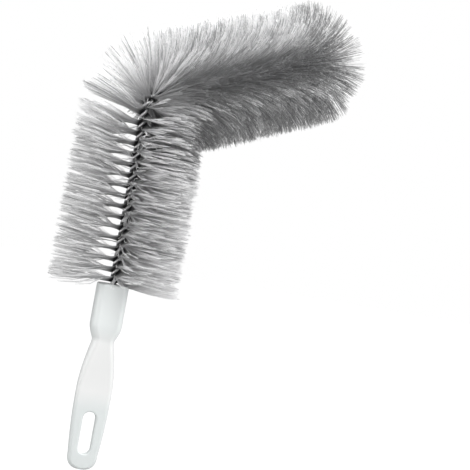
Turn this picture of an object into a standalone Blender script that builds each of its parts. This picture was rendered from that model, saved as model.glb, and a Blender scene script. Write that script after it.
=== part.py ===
"""A bendable duster: grey filaments held between the two legs of a folded, twisted steel wire, in a white
moulded handle with a hanging slot. It is modelled at rest as a user has bent it, handle down and head up.

The origin is the middle of the grip, on the handle's axis. +Z runs up the handle and the straight rear
half of the head, X runs across the handle's flat face and -Y out of that face. Past the bend the head
leans over BEND_ANGLE towards BEND_HEADING, which is counted from +X towards +Y.
"""

import math

import bmesh
import bpy
import numpy as np
from mathutils import Matrix, Vector

MM = 0.001

# Handle: one moulding, in metres. Depths are counted down from its mouth.
HANDLE_LENGTH = 142 * MM
GRIP_CENTRE_DEPTH = 70 * MM
SOCKET_LENGTH = 31 * MM
SOCKET_WIDTH = 24 * MM
SOCKET_THICKNESS = 16.5 * MM
SOCKET_EDGE_RADIUS = 6.5 * MM
MOUTH_CHAMFER = 1.2 * MM
WAIST_DEPTH = 43 * MM
WAIST_WIDTH = 16.6 * MM
WAIST_THICKNESS = 12.5 * MM
GRIP_WIDEST_DEPTH = 82 * MM
GRIP_WIDTH = 27.4 * MM
PADDLE_LEAD = 4 * MM
PADDLE_THICKNESS = 7.2 * MM
PADDLE_EDGE_RADIUS = 3 * MM
END_ROUNDING = 12 * MM
END_WIDTH = 22.8 * MM
SLOT_LENGTH = 32.4 * MM
SLOT_WIDTH = 10 * MM
SLOT_END_WALL = 12 * MM
CUT_OVERRUN = 5 * MM

# Stem: one steel wire folded in half and twisted, with the filaments pinched between its legs.
WIRE_DIAMETER = 2.6 * MM
WIRE_INSERTION = 50 * MM
TWIST_PITCH = 16 * MM
FOLD_STRAIGHT = 2.5 * MM
FILAMENT_LAYER = 0.5 * MM
SEAT_GAP = 0.3 * MM
JOINT_GAP = 0.7 * MM

# Head: its two straight lengths and the bend between them, along the stem.
BRUSH_DIAMETER = 100 * MM
BRUSH_START = 1.5 * MM
REAR_LENGTH = 130 * MM
FRONT_LENGTH = 172 * MM
BEND_RADIUS = 17 * MM
BEND_ANGLE = math.radians(72)
BEND_HEADING = math.radians(30)
CROWD_REACH = 55 * MM

# Filaments. A few hundred strands stand for the real thousands, so each is a thin flat tuft that widens
# towards its tip. At this spacing the twist never lines the tufts up in rows.
STRAND_SPACING = 1.486 * MM
STRAND_WIDTH = 1.0 * MM

# Counts that set how fine the mesh is.
SECTION_POINTS_PER_CORNER = 6
SHOULDER_SECTIONS = 4
GRIP_SECTIONS = 8
TAPER_SECTIONS = 4
END_SECTIONS = 6
HOLE_SIDES = 24
WIRE_POINTS_PER_TURN = 8
FOLD_POINTS = 7
WIRE_BEVEL_RESOLUTION = 1

# Shares of other sizes: where the rounded end closes, how full a section's corners may be, how much of
# the room between two turns of the twist a strand's tip takes up, and how thin the tip is.
END_CLOSING_SHARE = 0.985
FULLEST_CORNER_SHARE = 0.999
TIP_ROOM_SHARE = 0.62
TIP_THICKNESS_SHARE = 0.7

# Over 1, the shoulder starts gently and meets the waist at a crease.
SHOULDER_POWER = 1.6

# 2 is an ellipse, and more makes the handle's end squarer.
END_POWER = 2.6

# Edges sharper than this are shaded crisp.
SMOOTH_ANGLE = math.radians(40)

# Two strands whose directions differ by less than this share count as parallel.
PARALLEL_SHARE = 1e-9

# What follows is worked out from the sizes above.
PADDLE_DEPTH = GRIP_WIDEST_DEPTH + PADDLE_LEAD
END_DEPTH = HANDLE_LENGTH - END_ROUNDING
SLOT_CENTRE_DEPTH = HANDLE_LENGTH - SLOT_END_WALL - SLOT_LENGTH / 2
WIRE_RADIUS = WIRE_DIAMETER / 2
WIRE_ORBIT = WIRE_RADIUS + FILAMENT_LAYER / 2 + SEAT_GAP
CORE_RADIUS = WIRE_ORBIT + WIRE_RADIUS
RIBBON_REACH = CORE_RADIUS + SEAT_GAP
BRUSH_RADIUS = BRUSH_DIAMETER / 2
BEND_LENGTH = BEND_RADIUS * BEND_ANGLE
BEND_START = REAR_LENGTH
BEND_END = REAR_LENGTH + BEND_LENGTH
STEM_END = BEND_END + FRONT_LENGTH
TWIST_END = STEM_END - FOLD_STRAIGHT
CROWD_SLOPE = math.tan(BEND_ANGLE / 2)
BORE_RADIUS = CORE_RADIUS + SEAT_GAP
BORE_DEPTH = WIRE_INSERTION + WIRE_RADIUS + SEAT_GAP

UP = Vector((0, 0, 1))
HEADING = Vector((math.cos(BEND_HEADING), math.sin(BEND_HEADING), 0))
BEND_AXIS = UP.cross(HEADING)
MOUTH = UP * GRIP_CENTRE_DEPTH
BEND_CENTRE = MOUTH + UP * BEND_START + HEADING * BEND_RADIUS
BEND_CORNER = MOUTH + UP * (BEND_START + BEND_RADIUS * CROWD_SLOPE)

# The hinge lies on the bend's bisector where straightening about it leaves the wire's length as it is.
PIVOT_REACH = BEND_LENGTH / (2 * math.sin(BEND_ANGLE / 2))
PIVOT_OUTWARD = UP * math.sin(BEND_ANGLE / 2) - HEADING * math.cos(BEND_ANGLE / 2)
BEND_PIVOT = BEND_CENTRE + PIVOT_OUTWARD * PIVOT_REACH


def clear_scene():
    for old in list(bpy.data.objects):
        bpy.data.objects.remove(old, do_unlink=True)


def new_collection(name):
    collection = bpy.data.collections.new(name)
    bpy.context.scene.collection.children.link(collection)
    return collection


def new_material(name, colour, roughness, metallic):
    material = bpy.data.materials.new(name)
    material.use_nodes = True
    shader = material.node_tree.nodes["Principled BSDF"]
    shader.inputs["Base Color"].default_value = (*colour, 1)
    shader.inputs["Roughness"].default_value = roughness
    shader.inputs["Metallic"].default_value = metallic
    return material


def new_object(name, data, collection, material=None):
    made = bpy.data.objects.new(name, data)
    collection.objects.link(made)
    if material:
        data.materials.append(material)
    return made


def object_from_bmesh(name, bm, collection, material=None):
    mesh = bpy.data.meshes.new(name)
    bm.to_mesh(mesh)
    bm.free()
    return new_object(name, mesh, collection, material)


# The stem's centre line

def stem_frame(along):
    """Point, tangent and inward normal of the stem's centre line, `along` metres up from the mouth."""
    turned = min(max(along - BEND_START, 0) / BEND_RADIUS, BEND_ANGLE)
    tangent = HEADING * math.sin(turned) + UP * math.cos(turned)
    inward = HEADING * math.cos(turned) - UP * math.sin(turned)
    if along < BEND_START:
        return MOUTH + UP * along, tangent, inward
    return BEND_CENTRE - inward * BEND_RADIUS + tangent * max(along - BEND_END, 0), tangent, inward


def twist_angle(along):
    """Angle that the right-handed twist has reached, straight over the last bit before the fold."""
    return 2 * math.pi * min(along, TWIST_END) / TWIST_PITCH


def around_stem(along, angle, reach):
    """A point `reach` from the centre line, at an angle from the inward normal."""
    point, _, inward = stem_frame(along)
    return point + (inward * math.cos(angle) + BEND_AXIS * math.sin(angle)) * reach


# Handle

def ease(share):
    """Smooth step from 0 to 1."""
    return share * share * (3 - 2 * share)


def between(low, high, share):
    return low + (high - low) * share


def handle_sections():
    """Rows of depth, width, thickness and edge radius, from the mouth down to the closing end."""
    mouth_width = SOCKET_WIDTH - MOUTH_CHAMFER * 2
    mouth_thickness = SOCKET_THICKNESS - MOUTH_CHAMFER * 2
    rows = [
        (0, mouth_width, mouth_thickness, SOCKET_EDGE_RADIUS - MOUTH_CHAMFER),
        (MOUTH_CHAMFER, SOCKET_WIDTH, SOCKET_THICKNESS, SOCKET_EDGE_RADIUS),
    ]
    for step in range(SHOULDER_SECTIONS):
        share = step / SHOULDER_SECTIONS
        rows.append((
            between(SOCKET_LENGTH, WAIST_DEPTH, share),
            between(SOCKET_WIDTH, WAIST_WIDTH, share ** SHOULDER_POWER),
            between(SOCKET_THICKNESS, WAIST_THICKNESS, share ** SHOULDER_POWER),
            SOCKET_EDGE_RADIUS,
        ))
    for step in range(GRIP_SECTIONS):
        share = step / GRIP_SECTIONS
        depth = between(WAIST_DEPTH, GRIP_WIDEST_DEPTH, share)
        thinned = (depth - WAIST_DEPTH) / (PADDLE_DEPTH - WAIST_DEPTH)
        thickness = between(WAIST_THICKNESS, PADDLE_THICKNESS, ease(min(thinned, 1)))
        rows.append((
            depth,
            between(WAIST_WIDTH, GRIP_WIDTH, math.sin(math.pi / 2 * share)),
            thickness,
            between(SOCKET_EDGE_RADIUS, PADDLE_EDGE_RADIUS, ease(min(thinned, 1))),
        ))
    rows.append((PADDLE_DEPTH, GRIP_WIDTH, PADDLE_THICKNESS, PADDLE_EDGE_RADIUS))
    for step in range(1, TAPER_SECTIONS):
        share = step / TAPER_SECTIONS
        rows.append((
            between(PADDLE_DEPTH, END_DEPTH, share),
            between(GRIP_WIDTH, END_WIDTH, share * share),
            PADDLE_THICKNESS,
            PADDLE_EDGE_RADIUS,
        ))
    for step in range(END_SECTIONS + 1):
        share = END_CLOSING_SHARE * math.sin(math.pi / 2 * step / END_SECTIONS) ** (2 / END_POWER)
        width = END_WIDTH * (1 - share ** END_POWER) ** (1 / END_POWER)
        rows.append((
            between(END_DEPTH, HANDLE_LENGTH, share / END_CLOSING_SHARE),
            width,
            PADDLE_THICKNESS,
            PADDLE_EDGE_RADIUS,
        ))
    return rows


def rounded_section(bm, depth, width, thickness, edge_radius):
    """One closed loop: a rectangle whose corners are quarter circles."""
    radius = min(edge_radius, width / 2, thickness / 2) * FULLEST_CORNER_SHARE
    ring = bmesh.ops.create_circle(bm, segments=4 * SECTION_POINTS_PER_CORNER, radius=radius)["verts"]
    # The circle's quarters move apart into the corners, turned so that none straddles an axis.
    half_step = math.pi / (4 * SECTION_POINTS_PER_CORNER)
    bmesh.ops.rotate(bm, verts=ring, cent=(0, 0, 0), matrix=Matrix.Rotation(half_step, 3, "Z"))
    for vert in ring:
        vert.co = Vector((
            vert.co.x + math.copysign(width / 2 - radius, vert.co.x),
            vert.co.y + math.copysign(thickness / 2 - radius, vert.co.y),
            MOUTH.z - depth,
        ))
    return [edge for edge in bm.edges if edge.verts[0] in ring and edge.verts[1] in ring]


def stadium_cutter(name, collection):
    """The hanging slot: a round bar across the handle, its two halves moved apart."""
    bm = bmesh.new()
    bmesh.ops.create_cone(
        bm, cap_ends=True, segments=HOLE_SIDES, radius1=SLOT_WIDTH / 2, radius2=SLOT_WIDTH / 2,
        depth=SOCKET_THICKNESS + CUT_OVERRUN * 2,
    )
    bmesh.ops.rotate(bm, verts=bm.verts, cent=(0, 0, 0), matrix=Matrix.Rotation(math.pi / 2, 3, "X"))
    bmesh.ops.rotate(
        bm, verts=bm.verts, cent=(0, 0, 0), matrix=Matrix.Rotation(math.pi / HOLE_SIDES, 3, "Y")
    )
    for vert in bm.verts:
        vert.co.z += math.copysign((SLOT_LENGTH - SLOT_WIDTH) / 2, vert.co.z)
    cutter = object_from_bmesh(name, bm, collection)
    cutter.location.z = MOUTH.z - SLOT_CENTRE_DEPTH
    return cutter


def bore_cutter(name, collection):
    """The blind bore that takes the two twisted wire legs."""
    bm = bmesh.new()
    depth = BORE_DEPTH + CUT_OVERRUN
    bmesh.ops.create_cone(
        bm, cap_ends=True, segments=HOLE_SIDES, radius1=BORE_RADIUS, radius2=BORE_RADIUS, depth=depth
    )
    cutter = object_from_bmesh(name, bm, collection)
    cutter.location = MOUTH + UP * (CUT_OVERRUN - depth / 2)
    return cutter


def make_handle(parts, cutters, material):
    bm = bmesh.new()
    loops = [rounded_section(bm, *row) for row in handle_sections()]
    for upper, lower in zip(loops, loops[1:]):
        bmesh.ops.bridge_loops(bm, edges=upper + lower)
    bmesh.ops.contextual_create(bm, geom=loops[0])
    bmesh.ops.contextual_create(bm, geom=loops[-1])
    bmesh.ops.recalc_face_normals(bm, faces=bm.faces)
    handle = object_from_bmesh("handle", bm, parts, material)
    handle.data.shade_smooth()
    handle.data.set_sharp_from_angle(angle=SMOOTH_ANGLE)
    for cutter in (stadium_cutter("slot_cutter", cutters), bore_cutter("bore_cutter", cutters)):
        cutter.hide_render = True
        cutter.display_type = "WIRE"
        cut = handle.modifiers.new(cutter.name, "BOOLEAN")
        cut.operation = "DIFFERENCE"
        cut.solver = "EXACT"
        cut.object = cutter
    return handle


# Wire legs

def leg_points(start, end, side):
    """One wire leg between two places along the stem, side 0 or 1, as it twists round the other."""
    count = max(2, math.ceil((end - start) / TWIST_PITCH * WIRE_POINTS_PER_TURN) + 1)
    return [
        around_stem(along, twist_angle(along) + math.pi * side, WIRE_ORBIT)
        for along in np.linspace(start, end, count)
    ]


def fold_points():
    """The half circle at the tip that joins the two legs, without its ends."""
    tip, tangent, _ = stem_frame(STEM_END)
    outward = around_stem(STEM_END, twist_angle(STEM_END), WIRE_ORBIT) - tip
    angles = [math.pi * step / (FOLD_POINTS + 1) for step in range(1, FOLD_POINTS + 1)]
    return [tip + outward * math.cos(a) + tangent * (WIRE_ORBIT * math.sin(a)) for a in angles]


def make_wire(name, points, parts, material):
    curve = bpy.data.curves.new(name, "CURVE")
    curve.dimensions = "3D"
    curve.bevel_depth = WIRE_RADIUS
    curve.bevel_resolution = WIRE_BEVEL_RESOLUTION
    curve.use_fill_caps = True
    spline = curve.splines.new("POLY")
    spline.points.add(len(points) - 1)
    for place, point in zip(spline.points, points):
        place.co = (*point, 1)
    return new_object(name, curve, parts, material)


def least_gap_of_tube(points, radius):
    """The least clear distance between stretches of one tube that are more than a half turn apart."""
    places = np.array([tuple(point) for point in points])
    lengths = np.concatenate([[0], np.cumsum(np.linalg.norm(np.diff(places, axis=0), axis=1))])
    apart = np.linalg.norm(places[:, None] - places[None], axis=2)
    far = np.abs(lengths[:, None] - lengths[None]) > math.pi * radius * 2
    return apart[far].min() - radius * 2


def make_wires(parts, material, hinge):
    half_gap = JOINT_GAP / 2
    for side, letter in enumerate("ab"):
        rear = leg_points(-WIRE_INSERTION, BEND_START - half_gap, side)
        make_wire(f"rear_wire_{letter}", rear, parts, material)
        bend = leg_points(BEND_START + half_gap, BEND_END - half_gap, side)
        make_wire(f"bend_wire_{letter}", bend, parts, material)
    up_leg = leg_points(BEND_END + half_gap, STEM_END, 0)
    down_leg = leg_points(BEND_END + half_gap, STEM_END, 1)[::-1]
    folded = up_leg + fold_points() + down_leg
    front = make_wire("front_wire", folded, parts, material)
    hang_on(front, hinge)
    print(f"front_wire: least gap to itself {least_gap_of_tube(folded, WIRE_RADIUS) / MM:.2f} mm")


# Filaments

def crowded_direction(edge_point, along, angle):
    """Which way a strand leaves the stem. Outside the bend it stands straight out. Inside, the strands
    of both halves share the wedge between them: each leans away from the bisector, the more the nearer
    its root is to the corner, along a family of lines that never meet."""
    _, tangent, inward = stem_frame(along)
    radial = inward * math.cos(angle) + BEND_AXIS * math.sin(angle)
    if math.cos(angle) <= 0:
        return radial
    front_half = along > (BEND_START + BEND_END) / 2
    _, leaving, across = stem_frame(BEND_END if front_half else BEND_START)
    away = leaving if front_half else -leaving
    offset = edge_point - BEND_CORNER
    reach = offset.dot(across)
    back = offset.dot(away)
    root = (back - reach * CROWD_SLOPE) / (1 - reach * CROWD_SLOPE / CROWD_REACH)
    lean = CROWD_SLOPE * max(0, 1 - root / CROWD_REACH)
    return ((across + away * lean) * math.cos(angle) + BEND_AXIS * math.sin(angle)).normalized()


def tip_room(tip, along, angle):
    """How much of the stem's length a strand's tip may take up: what two turns of the twist leave it.
    Inside the bend the two halves share the wedge, so it is less, and on the bend itself it is nothing."""
    between_turns = TWIST_PITCH / 2
    if math.cos(angle) <= 0:
        return between_turns
    if BEND_START < along < BEND_END:
        return 0
    _, _, across = stem_frame(along)
    reach = (tip - BEND_CORNER).dot(across)
    return between_turns * (1 - reach * CROWD_SLOPE / CROWD_REACH)


def ribbon_point(along, across, through):
    """A point of the thin twisted layer in which the filaments are pinched."""
    angle = twist_angle(along) + math.pi / 2
    point, _, inward = stem_frame(along)
    radial = inward * math.cos(angle) + BEND_AXIS * math.sin(angle)
    normal = BEND_AXIS * math.cos(angle) - inward * math.sin(angle)
    return point + radial * across + normal * through


def widen_tip(face, centre, tip, along, width):
    """Moves a strand's drawn face to its tip, where it gets thinner, and wider along the twist."""
    _, tangent, _ = stem_frame(along)
    sides = {vert: math.copysign(1 / 2, (vert.co - centre).dot(tangent)) for vert in face.verts}
    run = sum((vert.co * side for vert, side in sides.items()), Vector())
    widening = max(width / STRAND_WIDTH, TIP_THICKNESS_SHARE)
    for vert, side in sides.items():
        through = vert.co - centre - run * side
        vert.co = tip + run * side * widening + through * TIP_THICKNESS_SHARE


def strand_stations(start, end):
    """Evenly spaced places for the strands' roots, each a root's width clear of the layer's ends."""
    count = max(2, round((end - start) / STRAND_SPACING))
    step = (end - start) / count
    return [start + step * (index + 1 / 2) for index in range(count)]


def make_bristles(name, start, end, parts, material):
    """A length of the pinched layer with a strand out of both its edges at each station. It starts as a
    cube cut in half across and into slices along the stem, and each strand is one edge face of a slice,
    drawn out. The slices are warped by the twist, so each face is split along its shorter diagonal, which
    lets the layer's two sides bulge away from each other and never cross."""
    stations = strand_stations(start, end)
    half_root = STRAND_WIDTH / 2
    cuts = [start]
    for station in stations:
        cuts += [station - half_root, station + half_root]
    cuts.append(end)

    bm = bmesh.new()
    half_side = 1 / 2
    bmesh.ops.create_cube(bm, size=half_side * 2)
    wide_edges = [edge for edge in bm.edges if edge.verts[0].co.y * edge.verts[1].co.y < 0]
    bmesh.ops.subdivide_edges(bm, edges=wide_edges, cuts=1, use_grid_fill=True)
    long_edges = [edge for edge in bm.edges if edge.verts[0].co.x * edge.verts[1].co.x < 0]
    bmesh.ops.subdivide_edges(bm, edges=long_edges, cuts=len(cuts) - 2, use_grid_fill=True)
    slice_of = {vert: round((vert.co.x + half_side) * (len(cuts) - 1)) for vert in bm.verts}
    roots = []
    for face in bm.faces:
        lowest = min(slice_of[vert] for vert in face.verts)
        is_edge_face = abs(face.normal.y) > half_side and lowest % 2 == 1
        if is_edge_face:
            roots.append((face, stations[lowest // 2], math.copysign(1, face.normal.y)))
    for vert in bm.verts:
        across = RIBBON_REACH * vert.co.y / half_side
        through = math.copysign(FILAMENT_LAYER / 2, vert.co.z)
        vert.co = ribbon_point(cuts[slice_of[vert]], across, through)

    drawn = bmesh.ops.extrude_discrete_faces(bm, faces=[face for face, _, _ in roots])["faces"]
    strands = []
    for face, (_, station, side) in zip(drawn, roots):
        angle = twist_angle(station) + math.pi / 2 * side
        centre = face.calc_center_median()
        direction = crowded_direction(around_stem(station, angle, RIBBON_REACH), station, angle)
        tip = centre + direction * (BRUSH_RADIUS - RIBBON_REACH)
        widen_tip(face, centre, tip, station, tip_room(tip, station, angle) * TIP_ROOM_SHARE)
        strands.append((centre, tip))
    bmesh.ops.recalc_face_normals(bm, faces=bm.faces)
    bmesh.ops.triangulate(bm, faces=bm.faces, quad_method="SHORT_EDGE")
    return object_from_bmesh(name, bm, parts, material), strands


def least_gap_of_strands(strands):
    """The least distance between the centre lines of any two strands, all taken as straight lines."""
    starts = np.array([tuple(start) for start, _ in strands])
    runs = np.array([tuple(tip - start) for start, tip in strands])
    least = math.inf
    for index in range(len(strands) - 1):
        run, others = runs[index], runs[index + 1:]
        offset = starts[index] - starts[index + 1:]
        a, b, c = run @ run, others @ run, np.einsum("ij,ij->i", others, others)
        d, e = offset @ run, np.einsum("ij,ij->i", others, offset)
        spread = np.maximum(a * c - b * b, a * a * PARALLEL_SHARE)
        first = np.clip((b * e - c * d) / spread, 0, 1)
        second = np.clip((b * first + e) / c, 0, 1)
        first = np.clip((b * second - d) / a, 0, 1)
        gap = offset + first[:, None] * run - second[:, None] * others
        least = min(least, np.linalg.norm(gap, axis=1).min())
    return least


def hang_on(piece, parent):
    """Parents a piece whose mesh is in world places to an empty on its joint's axis."""
    bpy.context.view_layer.update()
    piece.parent = parent
    piece.matrix_parent_inverse = parent.matrix_world.inverted()


def make_all_bristles(parts, material, hinge):
    half_gap = JOINT_GAP / 2
    stretches = {
        "rear_bristles": (BRUSH_START, BEND_START - half_gap),
        "bend_bristles": (BEND_START + half_gap, BEND_END - half_gap),
        "front_bristles": (BEND_END + half_gap, TWIST_END),
    }
    strands = []
    for name, (start, end) in stretches.items():
        made, found = make_bristles(name, start, end, parts, material)
        strands += found
        if name == "front_bristles":
            hang_on(made, hinge)
    print(f"{len(strands)} strands, least gap between centre lines {least_gap_of_strands(strands) / MM:.2f} mm")


def main():
    clear_scene()
    parts = new_collection("bendable_duster")
    cutters = new_collection("cutters")
    white_plastic = new_material("white_handle_plastic", (0.86, 0.88, 0.87), 0.35, 0)
    steel = new_material("galvanised_wire", (0.30, 0.30, 0.31), 0.4, 1)
    nylon = new_material("grey_nylon_filament", (0.36, 0.36, 0.37), 0.45, 0)

    hinge = new_object("stem_bend_axis", None, parts)
    hinge.location = BEND_PIVOT
    make_handle(parts, cutters, white_plastic)
    make_wires(parts, steel, hinge)
    make_all_bristles(parts, nylon, hinge)
    pivot = ", ".join(f"{place / MM:.2f}" for place in BEND_PIVOT)
    print(f"stem_bend pivot {pivot} mm, axis {tuple(round(v, 4) for v in BEND_AXIS)}")


main()
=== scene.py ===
# %% [markdown]
# # A bendable duster
# The real object is three things: a white moulded handle, one steel wire that is folded in half and
# twisted, and thousands of thin grey filaments that the twist holds. A hand has bent the wire, so the
# head stands up out of the handle and then leans over. This lesson dresses the solid model of the duster
# with fine surfaces: a smooth handle, a round wire, and a real coat of filaments.

# %% Load the solid model
import math

import bmesh
import bpy
import numpy as np
from mathutils import Matrix, Vector


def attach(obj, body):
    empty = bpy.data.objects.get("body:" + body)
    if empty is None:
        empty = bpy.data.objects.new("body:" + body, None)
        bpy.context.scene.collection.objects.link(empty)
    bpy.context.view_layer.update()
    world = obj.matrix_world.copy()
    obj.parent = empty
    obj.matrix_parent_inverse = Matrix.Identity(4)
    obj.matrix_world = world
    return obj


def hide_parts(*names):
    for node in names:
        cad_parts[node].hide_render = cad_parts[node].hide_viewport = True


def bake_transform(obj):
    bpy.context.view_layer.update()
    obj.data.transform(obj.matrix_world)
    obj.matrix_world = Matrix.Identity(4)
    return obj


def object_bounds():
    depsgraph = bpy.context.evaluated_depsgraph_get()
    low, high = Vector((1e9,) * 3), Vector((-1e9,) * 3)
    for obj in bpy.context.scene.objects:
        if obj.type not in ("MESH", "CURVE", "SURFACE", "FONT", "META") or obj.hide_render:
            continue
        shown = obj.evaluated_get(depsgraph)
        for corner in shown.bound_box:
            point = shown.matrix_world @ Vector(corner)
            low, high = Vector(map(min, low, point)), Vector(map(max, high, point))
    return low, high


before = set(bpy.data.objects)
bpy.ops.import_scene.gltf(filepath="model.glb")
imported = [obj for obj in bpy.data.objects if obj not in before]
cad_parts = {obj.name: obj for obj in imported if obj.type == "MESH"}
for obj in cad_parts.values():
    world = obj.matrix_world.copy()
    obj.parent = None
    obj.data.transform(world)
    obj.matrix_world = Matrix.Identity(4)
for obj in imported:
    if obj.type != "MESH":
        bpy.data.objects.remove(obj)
solid_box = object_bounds()
MM = 0.001
print("solid model, mm:", [round(side / MM, 1) for side in solid_box[1] - solid_box[0]])

# %% [markdown]
# ## Camera
# The photograph was taken almost level, a little to the left of the handle's flat face, with the camera
# rolled so that the handle leans. The distance and the lens come from how fast the head narrows as it
# leans away. A camera is three directions and a place: right, up and back are the columns of its matrix.

# %% Camera
PICTURE_PIXELS = 470
LENS_PIXELS = 1866
CAMERA_AZIMUTH = math.radians(-14)
CAMERA_ELEVATION = math.radians(2.1)
CAMERA_ROLL = math.radians(10.4)
CAMERA_DISTANCE = 1400 * MM
AIM_HEIGHT = 130 * MM
AIM_RIGHT = 80.7 * MM
AIM_UP = -22 * MM


def add_camera():
    """The camera looks along -back at a point that lies AIM_RIGHT and AIM_UP off the handle's axis."""
    level = math.cos(CAMERA_ELEVATION)
    back = Vector((
        math.sin(CAMERA_AZIMUTH) * level,
        -math.cos(CAMERA_AZIMUTH) * level,
        math.sin(CAMERA_ELEVATION),
    ))
    flat_right = Vector((math.cos(CAMERA_AZIMUTH), math.sin(CAMERA_AZIMUTH), 0))
    flat_up = back.cross(flat_right)
    right = flat_right * math.cos(CAMERA_ROLL) + flat_up * math.sin(CAMERA_ROLL)
    up = flat_up * math.cos(CAMERA_ROLL) - flat_right * math.sin(CAMERA_ROLL)
    place = Vector((0, 0, AIM_HEIGHT)) + right * AIM_RIGHT + up * AIM_UP + back * CAMERA_DISTANCE
    data = bpy.data.cameras.new("camera")
    camera = bpy.data.objects.new("camera", data)
    bpy.context.scene.collection.objects.link(camera)
    camera.matrix_world = Matrix((right, up, back)).transposed().to_4x4()
    camera.location = place
    data.sensor_width = 36
    data.lens = LENS_PIXELS / PICTURE_PIXELS * data.sensor_width
    data.clip_end = 20
    bpy.context.scene.camera = camera
    return camera


camera = add_camera()
print("lens, mm:", round(camera.data.lens, 1))

# %% [markdown]
# ## Meshes from arrays
# Every surface here is worked out as whole arrays of points and handed to Blender in one go, which is
# quick enough for a coat of filaments. A patch is a grid of points, rows by columns, and its faces join
# each point to its three neighbours. Patches that share an edge are merged along it.

# %% Mesh helpers
def grid_faces(rows, columns):
    """Four-cornered faces of a grid: row by row, each from (r, c) to (r+1, c+1)."""
    index = np.arange(rows * columns).reshape(rows, columns)
    corners = (index[:-1, :-1], index[:-1, 1:], index[1:, 1:], index[1:, :-1])
    return np.stack(corners, axis=-1).reshape(-1, 4)


def mesh_from_arrays(name, points, quads, triangles=None):
    """A mesh from (n, 3) points, (m, 4) quads and (k, 3) triangles, all smooth."""
    triangles = np.empty((0, 3), int) if triangles is None else triangles
    corners = np.concatenate([quads.ravel(), triangles.ravel()])
    sizes = np.concatenate([np.full(len(quads), 4), np.full(len(triangles), 3)])
    mesh = bpy.data.meshes.new(name)
    mesh.vertices.add(len(points))
    mesh.vertices.foreach_set("co", points.astype(np.float32).ravel())
    mesh.loops.add(len(corners))
    mesh.loops.foreach_set("vertex_index", corners.astype(np.int32))
    mesh.polygons.add(len(sizes))
    mesh.polygons.foreach_set("loop_start", (np.cumsum(sizes) - sizes).astype(np.int32))
    mesh.polygons.foreach_set("use_smooth", np.ones(len(sizes), bool))
    mesh.update(calc_edges=True)
    return mesh


def piece_from_mesh(name, mesh, material):
    piece = bpy.data.objects.new(name, mesh)
    bpy.context.scene.collection.objects.link(piece)
    mesh.materials.append(material)
    return piece


def piece_from_patches(name, patches, material, merge=MM / 1000):
    """One closed piece from patches that meet along their edges. Each patch is (rows, columns, 3)."""
    points = np.concatenate([patch.reshape(-1, 3) for patch in patches])
    starts = np.cumsum([0] + [patch.shape[0] * patch.shape[1] for patch in patches])
    faces = [grid_faces(*patch.shape[:2]) + start for patch, start in zip(patches, starts)]
    mesh = mesh_from_arrays(name, points, np.concatenate(faces))
    bm = bmesh.new()
    bm.from_mesh(mesh)
    bmesh.ops.remove_doubles(bm, verts=bm.verts, dist=merge)
    bmesh.ops.recalc_face_normals(bm, faces=bm.faces)
    open_edges = sum(1 for edge in bm.edges if not edge.is_manifold)
    bm.to_mesh(mesh)
    bm.free()
    print(f"{name}: {len(mesh.polygons)} faces, {open_edges} open edges")
    return piece_from_mesh(name, mesh, material)


def unit(vectors):
    return vectors / np.linalg.norm(vectors, axis=-1, keepdims=True)


def ease(share):
    """Smooth step: 3 share^2 - 2 share^3, held at 0 and 1 outside."""
    share = np.clip(share, 0, 1)
    return share * share * (3 - 2 * share)


def step(value, start, end):
    """Smooth step from 0 at start to 1 at end."""
    return ease((value - start) / (end - start))


def between(low, high, share):
    return low + (high - low) * share


# %% [markdown]
# ## Writing a material as sums
# A material's pattern is arithmetic on numbers that vary over the surface. The small class `Signal` wraps
# such a number, so that `1 - mask * 0.2` can be written as it is read, and each sign adds its Math node.
# Everything that isn't arithmetic, such as a noise or a ramp, comes from one method, `node`.

# %% Shader helpers
class Graph:
    """A node tree that is built from written expressions."""

    def __init__(self, tree):
        self.tree = tree

    def feed(self, socket, value):
        if isinstance(value, Signal):
            self.tree.links.new(value.socket, socket)
        else:
            socket.default_value = value

    def node(self, kind, settings=None, inputs=None, output=0):
        """Any node: its settings are set first, then its sockets get values or links."""
        made = self.tree.nodes.new(kind)
        for name, value in (settings or {}).items():
            setattr(made, name, value)
        for name, value in (inputs or {}).items():
            self.feed(made.inputs[name], value)
        return Signal(self, made.outputs[output])

    def ramp(self, value, stops):
        """A colour ramp from (place, colour) stops."""
        made = self.node("ShaderNodeValToRGB", None, {"Fac": value})
        elements = made.socket.node.color_ramp.elements
        for index, (place, colour) in enumerate(stops):
            element = elements[index] if index < len(elements) else elements.new(place)
            element.position = place
            element.color = (*colour, 1)
        return made

    def noise(self, places, scale, detail=2):
        return self.node("ShaderNodeTexNoise", None, {"Vector": places, "Scale": scale, "Detail": detail})

    def places(self):
        return self.node("ShaderNodeTexCoord", output="Object")

    def stored(self, name):
        """A number stored on the mesh's points."""
        return self.node("ShaderNodeAttribute", {"attribute_name": name}, output="Fac")

    def mixed(self, share, first, second):
        """A colour between two."""
        return self.node("ShaderNodeMix", {"data_type": "RGBA"}, {0: share, 6: first, 7: second}, output=2)


class Look(Graph):
    """A material whose Principled shader starts from one colour, roughness and metallic value."""

    def __init__(self, name, colour, roughness, metallic=0):
        self.material = bpy.data.materials.new(name)
        self.material.use_nodes = True
        super().__init__(self.material.node_tree)
        self.shader = self.tree.nodes["Principled BSDF"]
        self.feed(self.shader.inputs["Base Color"], (*colour, 1))
        self.feed(self.shader.inputs["Roughness"], roughness)
        self.feed(self.shader.inputs["Metallic"], metallic)

    def bump(self, height, distance):
        normal = self.node("ShaderNodeBump", None, {"Height": height, "Distance": distance})
        self.feed(self.shader.inputs["Normal"], normal)


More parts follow.
